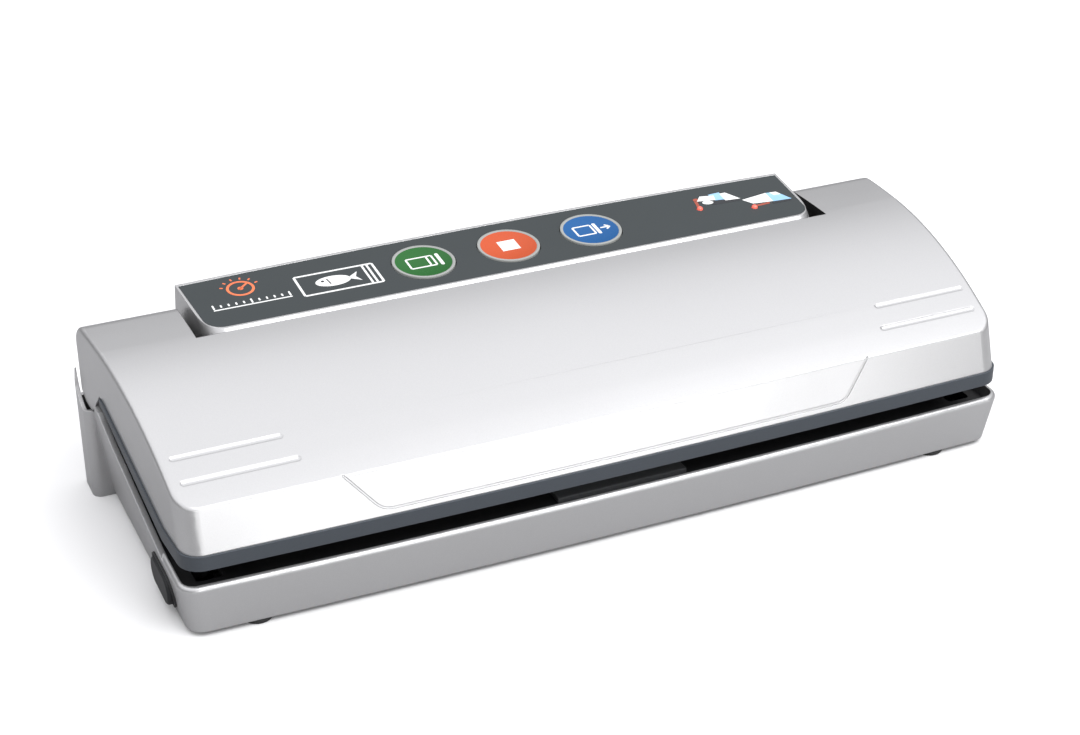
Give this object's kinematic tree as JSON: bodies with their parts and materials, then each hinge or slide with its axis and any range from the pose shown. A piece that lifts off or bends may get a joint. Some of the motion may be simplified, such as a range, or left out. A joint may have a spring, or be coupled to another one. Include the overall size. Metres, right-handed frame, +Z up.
{
  "type": "vacuum packing machine",
  "caption": "Bench-top vacuum packing and heat-sealing machine: long hinged lid over a trough and hot strip, raised rear panel with round push buttons, side release buttons.",
  "frame": {"origin": "centre of the footprint, on the surface that the machine stands on", "axes": "+X along the machine's length to its right end, +Y to its back, +Z up"},
  "size_m": [0.3936, 0.1462, 0.0855],
  "materials": {
    "silver_shell": "satin silver paint",
    "dark_trim": "satin blue-grey plastic",
    "black_plastic": "matt black plastic",
    "grey_plastic": "matt grey plastic",
    "overlay": "printed satin film",
    "rubber": "black rubber",
    "foam": "closed-cell foam",
    "silicone": "grey silicone",
    "tape": "woven non-stick tape",
    "steel": "zinc plated",
    "nickel": "resistance alloy",
    "copper": "enamelled copper",
    "core_steel": "laminated steel",
    "board_green": "circuit board",
    "hose_clear": "translucent silicone",
    "button_green": "printed button",
    "button_orange": "printed button",
    "button_blue": "printed button",
    "light_red": "light window",
    "white_plastic": "nylon"
  },
  "bodies": {
    "base": {"base_housing": "silver_shell", "chamber_deck": "black_plastic", "control_housing": "silver_shell", "control_overlay": "overlay", "bottom_cover": "black_plastic", "bottom_screws": "steel", "rubber_feet": "rubber", "lower_gasket": "foam", "seal_bar": "black_plastic", "heating_strip": "nickel", "release_tape": "tape", "bag_guide": "grey_plastic", "suction_port": "white_plastic", "vacuum_hose": "hose_clear", "pump_motor": "steel", "pump_bracket": "steel", "pump_body": "black_plastic", "pump_diaphragm": "rubber", "pump_head": "black_plastic", "air_valve": "white_plastic", "transformer_core": "core_steel", "transformer_coil": "copper", "control_board": "board_green", "board_parts": "black_plastic", "button_board": "board_green", "button_switches": "black_plastic", "indicator_lights": "light_red", "lid_switch": "black_plastic", "power_inlet": "black_plastic", "bracket_screws": "steel", "hinge_bracket_right": "steel", "hinge_bracket_left": "steel", "button_collar_right": "black_plastic", "button_collar_left": "black_plastic", "latch_spring_right": "steel", "latch_spring_left": "steel"},
    "lid": {"lid_cover": "silver_shell", "lid_liner": "dark_trim", "upper_gasket": "foam", "press_strip": "silicone", "lid_hook_right": "black_plastic", "lid_hook_left": "black_plastic", "hinge_pin_right": "steel", "hinge_pin_left": "steel", "liner_screws": "steel"},
    "release_right": {"release_button_right": "grey_plastic", "latch_slider_right": "black_plastic"},
    "release_left": {"release_button_left": "grey_plastic", "latch_slider_left": "black_plastic"},
    "seal_button": {"seal_button": "button_green"},
    "stop_button": {"stop_button": "button_orange"},
    "vacuum_button": {"vacuum_button": "button_blue"},
    "pump_rotor": {"pump_shaft": "steel", "pump_eccentric": "steel"},
    "pump_rod": {"pump_rod": "white_plastic"}
  },
  "joints": [
    {"name": "lid_hinge", "type": "hinge", "parent": "base", "child": "lid", "pos_m": [0, 0.054, 0.057], "axis": [-1, 0, 0], "range_deg": [0, 65]},
    {"name": "release_right_press", "type": "slide", "parent": "base", "child": "release_right", "axis": [-1, 0, 0], "range_m": [0, 0.0035], "stiffness_N_per_m": 300, "springref_m": -0.003, "deforming": ["latch_spring_right"]},
    {"name": "release_left_press", "type": "slide", "parent": "base", "child": "release_left", "axis": [1, 0, 0], "range_m": [0, 0.0035], "stiffness_N_per_m": 300, "springref_m": -0.003, "deforming": ["latch_spring_left"]},
    {"name": "seal_button_press", "type": "slide", "parent": "base", "child": "seal_button", "axis": [0, 0.0796, -0.9968], "range_m": [0, 0.0006], "stiffness_N_per_m": 400, "springref_m": -0.0006},
    {"name": "stop_button_press", "type": "slide", "parent": "base", "child": "stop_button", "axis": [0, 0.0796, -0.9968], "range_m": [0, 0.0006], "stiffness_N_per_m": 400, "springref_m": -0.0006},
    {"name": "vacuum_button_press", "type": "slide", "parent": "base", "child": "vacuum_button", "axis": [0, 0.0796, -0.9968], "range_m": [0, 0.0006], "stiffness_N_per_m": 400, "springref_m": -0.0006},
    {"name": "pump_turn", "type": "hinge", "parent": "base", "child": "pump_rotor", "pos_m": [-0.062, 0.04, 0.024], "axis": [1, 0, 0], "continuous": true},
    {"name": "rod_swing", "type": "hinge", "parent": "pump_rotor", "child": "pump_rod", "pos_m": [-0.062, 0.04, 0.0255], "axis": [1, 0, 0], "continuous": true}
  ],
  "couplings": [
    {"joint": "rod_swing", "follows": "pump_turn", "ratio": -1}
  ]
}
